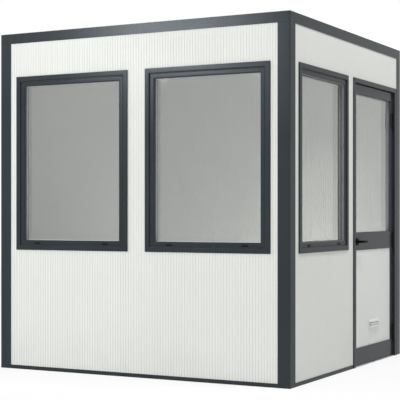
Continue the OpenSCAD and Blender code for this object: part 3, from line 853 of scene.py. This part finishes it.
strike = striking_plate()
room = LOCK_GAP - LOCK_PLATE[2] - LATCH[2] - STRIKE[2] - STRIKE_RIM
print("striking plate", [round(x, 4) for x in strike.dimensions], "room", round(1000 * room, 2), "mm")

# %% [markdown]
# ## Screws in the hinge plates
#
# Each hinge plate on the leaf is held by four small socket screws. They could be added one by one, but
# alike things are best made once: one screw is modelled from a disc, with a chamfered rim and a sunk
# socket, and the others are copies of it.

# %% One screw and its copies
SCREW_RADIUS = 0.0036
SCREW_SIDES = 18
SCREW_SMOOTH_BELOW = math.radians(35)
SCREW_RISE = 0.0005
SCREW_CHAMFER = {"thickness": 0.0006, "depth": 0.0004}
SOCKET_RIM = 0.0012
SOCKET_DEPTH = 0.0008
SCREW_INSET = 0.009
SCREWS_APART = (0.019, 0.084)
HINGE_HALF = 0.055
HINGE_PLATE = 0.002
hinge_low, hinge_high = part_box("hinge_leaf_halves")


def socket_screw(centre):
    """A flat head with a round socket, facing +X."""
    piece = disc(centre, SCREW_RADIUS, SCREW_SIDES)
    edit(select_all,
         lambda: draw_out(turned(DOOR_WALL), SCREW_RISE),
         lambda: bpy.ops.mesh.inset(**SCREW_CHAMFER),
         lambda: bpy.ops.mesh.inset(thickness=SOCKET_RIM),
         lambda: draw_out(turned(DOOR_WALL), -SOCKET_DEPTH),
         outwards)
    only(piece)
    bpy.ops.object.shade_smooth_by_angle(angle=SCREW_SMOOTH_BELOW)
    return piece


def copies(source, places):
    """Copies of a piece, each with its own mesh, moved from the source's place."""
    made = [source]
    for place in places:
        made.append(copied(source, source.name))
        edit(select_all, lambda: bpy.ops.transform.translate(value=place))
    return joined(made)


hinge_zs = [hinge_low.z + HINGE_HALF, spindle.z, hinge_high.z - HINGE_HALF]
first_screw = socket_screw((leaf_high.x + HINGE_PLATE, hinge_low.y + SCREW_INSET,
                            hinge_zs[0] - SCREWS_APART[1] / 2))
screw_moves = [(0, across, z - hinge_zs[0] + up)
               for z in hinge_zs for across in (0.0, SCREWS_APART[0]) for up in (0.0, SCREWS_APART[1])]
finished(copies(first_screw, screw_moves[1:]), "hinge_screws", "door", "black_hardware")
print(len(screw_moves), "screws on", len(hinge_zs), "hinges")

# %% [markdown]
# ## Threshold grips and roof sealant
#
# The threshold is a drawn aluminium bar with raised grips along it, which keep a wet sole from
# slipping. On the roof a bead of sealant closes the joint between the roof panel and its rim. Either
# could be a bump in a material, but a real rise catches the light from every side. The grips are one
# bar and its copies, and the sealant is a ring with wide rounded edges.

# %% Grips along the threshold
GRIP = (0.0035, 0.0014)
GRIP_EDGE = 0.0005
GRIP_STEP = 0.0085
GRIP_COUNT = 6
GRIP_SETBACK = 0.009
GRIP_END_ROOM = 0.015
THRESHOLD_TOP = 0.005
sill_low, sill_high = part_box("door_threshold")


def threshold_grips():
    """A row of low bars along the threshold."""
    span = sill_high.y - sill_low.y - 2 * GRIP_END_ROOM
    middle_y = (sill_low.y + sill_high.y) / 2
    grip = plate((sill_high.x - GRIP_SETBACK, middle_y, THRESHOLD_TOP), FACING_UP, GRIP[0], span, GRIP[1])
    round_edges(grip, GRIP_EDGE)
    row = copies(grip, [(-GRIP_STEP * i, 0, 0) for i in range(1, GRIP_COUNT)])
    return finished(row, "threshold_grips", "booth", "mill_aluminium")


grips = threshold_grips()
print("grips", [round(x, 4) for x in grips.dimensions])

# %% Sealant round the roof panel
SEALANT_BAND = 0.012
SEALANT_RISE = 0.009
SEALANT_EDGE = 0.0055
roof_low, roof_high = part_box("roof_panel")


def roof_bead():
    """A soft ring along the edge of the roof panel."""
    size = roof_high - roof_low
    middle = (roof_low + roof_high) / 2
    piece = ring((middle.x, middle.y, roof_high.z), FACING_UP, size.x, size.y, SEALANT_BAND, SEALANT_RISE)
    round_edges(piece, SEALANT_EDGE, segments=4)
    return finished(piece, "roof_sealant", "booth", "sealant")


roof_sealant = roof_bead()
print("sealant runs round", [round(x, 3) for x in roof_sealant.dimensions])

# %% [markdown]
# ## Camera
#
# The photograph is taken from the right of the front wall, a little above the window sills, with upright
# lines kept upright. That is a level camera whose picture is shifted up rather than a tilted one. The
# place and the focal length come from fitting the upright edges of posts, windows and door.

# %% A level camera with a shifted picture
EYE = Vector((4.043, -8.0472, 1.0814))
YAW = 0.5022
LENS = 110.15
SENSOR_WIDTH = 36.0
SHIFT = (0.0875, 0.033)
bpy.ops.object.camera_add(location=EYE, rotation=(math.pi / 2, 0, YAW))
camera = bpy.context.object
camera.data.lens = LENS
camera.data.sensor_width = SENSOR_WIDTH
camera.data.shift_x = SHIFT[0]
camera.data.shift_y = SHIFT[1]
bpy.context.scene.camera = camera
print("camera", [round(x, 2) for x in EYE], "looks", round(math.degrees(YAW), 1), "degrees left of +Y")

# %% [markdown]
# ## Floor and light
#
# The booth stands on a plain white floor in a white studio. What the camera and mirrors see of the
# surroundings is plain white, and the light that falls on the booth is set apart from it. Three lamps
# shape it: one at the front left, which also gives the sheen on the top rail, one far to the left that
# rakes along the front wall and brings out its ribs, and one high over the door wall, which puts soft
# shadows under the louvre and the frames. A small fourth one near the cabin floor stands for the
# daylight that the floor throws back at the walls.

# %% White floor that fades into the background
FLOOR_RADIUS = 40.0
FLOOR_SIDES = 64
FLOOR_FADE = (9.0, 22.0)
FLOOR_GLOW = 0.8
FLOOR_LOOK = {"Base Color": (0.96, 0.96, 0.96, 1), "Roughness": 0.9, "Specular IOR Level": 0.0}


def looked_at(nodes):
    """1 for rays from the camera, from glossy surfaces or through glass, 0 for rays that only light."""
    rays = nodes.new("ShaderNodeLightPath").outputs
    looks = Field(rays["Is Camera Ray"])
    for kind in ("Is Glossy Ray", "Is Transmission Ray"):
        looks = looks.larger(Field(rays[kind]))
    return looks


def studio_floor():
    """A wide disc. The camera sees most of it as plain white, and a faint shadow stays."""
    bpy.ops.object.select_all(action="DESELECT")
    bpy.ops.mesh.primitive_circle_add(vertices=FLOOR_SIDES, radius=FLOOR_RADIUS, fill_type="NGON")
    piece = bpy.context.object
    piece.name = "studio_floor"
    material, shader, place = new_finish("studio_floor", FLOOR_LOOK)
    nodes = material.node_tree.nodes
    far = place.node("ShaderNodeVectorMath", {"operation": "LENGTH"}, {0: place}, 1).fade(*FLOOR_FADE)
    white = Field(nodes.new("ShaderNodeEmission").outputs[0])
    clear = Field(nodes.new("ShaderNodeBsdfTransparent").outputs[0])
    lit = far.node("ShaderNodeMixShader", {}, {
        0: looked_at(nodes) * FLOOR_GLOW, 1: Field(shader.outputs[0]), 2: white})
    mixed = far.node("ShaderNodeMixShader", {}, {0: far, 1: lit, 2: clear})
    material.node_tree.links.new(mixed.socket, nodes["Material Output"].inputs["Surface"])
    piece.data.materials.append(material)


studio_floor()
print("floor reaches", FLOOR_RADIUS, "m")

# %% White surroundings
AMBIENT = 0.4
WHITE = (1, 1, 1, 1)

world = bpy.data.worlds.new("white_studio")
world.use_nodes = True
bpy.context.scene.world = world
world_nodes = world.node_tree.nodes
seen = world_nodes["Background"]
seen.inputs["Color"].default_value = WHITE
seen.inputs["Strength"].default_value = 1.0
lighting = world_nodes.new("ShaderNodeBackground")
lighting.inputs["Color"].default_value = WHITE
lighting.inputs["Strength"].default_value = AMBIENT
looks = looked_at(world_nodes)
sky = looks.node("ShaderNodeMixShader", {}, {
    0: looks, 1: Field(lighting.outputs[0]), 2: Field(seen.outputs[0])})
world.node_tree.links.new(sky.socket, world_nodes["World Output"].inputs["Surface"])
print("surroundings light the booth at", AMBIENT)

# %% Soft lamps
def soft_lamp(name, place, aim, width, height, watts):
    """An area lamp that shines from a place at a point, and that the camera doesn't see."""
    bpy.ops.object.light_add(type="AREA", location=place)
    lamp = bpy.context.object
    lamp.name = name
    lamp.data.shape = "RECTANGLE"
    lamp.data.size = width
    lamp.data.size_y = height
    lamp.data.energy = watts
    lamp.rotation_euler = (Vector(aim) - Vector(place)).to_track_quat("-Z", "Y").to_euler()
    lamp.visible_camera = False


LAMPS = {  # place, the point it shines at, width, height, watts
    "front_lamp": ((-5.4, -11.5, 4.05), (0, -1, 1.5), 2.2, 1.15, 570.0),
    "raking_lamp": ((-9.5, -4.2, 6.5), (0, -1, 1.2), 3.0, 3.0, 360.0),
    "door_lamp": ((3.0, -0.4, 6.5), (1.1, 0, 1.0), 1.1, 1.1, 190.0),
    "cabin_floor_lamp": ((0.4, 0.1, 0.06), (0.5, 1.0, 0.9), 0.8, 0.8, 23.0)}
for name, setting in LAMPS.items():
    soft_lamp(name, *setting)
bpy.context.scene.view_settings.view_transform = "Standard"
print("lamps:", ", ".join(LAMPS))
